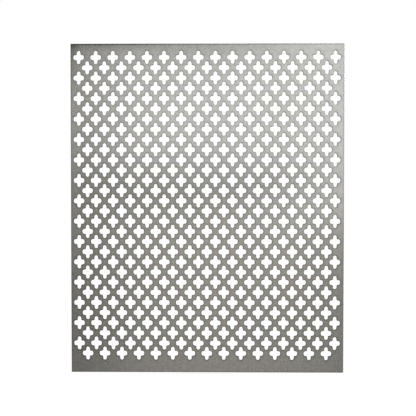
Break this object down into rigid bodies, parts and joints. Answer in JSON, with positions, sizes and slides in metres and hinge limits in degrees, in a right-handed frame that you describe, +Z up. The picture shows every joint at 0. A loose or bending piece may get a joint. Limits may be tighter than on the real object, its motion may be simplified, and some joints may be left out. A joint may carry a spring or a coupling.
{
  "type": "laser cut metal screen",
  "caption": "Flat brushed steel sheet cut through with staggered rows of upright crosses, for a screen, divider or grille.",
  "frame": {"origin": "middle of the sheet's bottom edge, halfway through its thickness", "axes": "+Z up the sheet, +X to the right seen from the front, front face towards -Y"},
  "size_m": [0.5, 0.002, 0.6025],
  "materials": {
    "steel_sheet": "satin, brushed upright along the height, slightly warm grey, darkened round the laser cut edges"
  },
  "bodies": {
    "root": {"sheet_upper_half": "steel_sheet", "sheet_lower_half": "steel_sheet"}
  },
  "joints": []
}
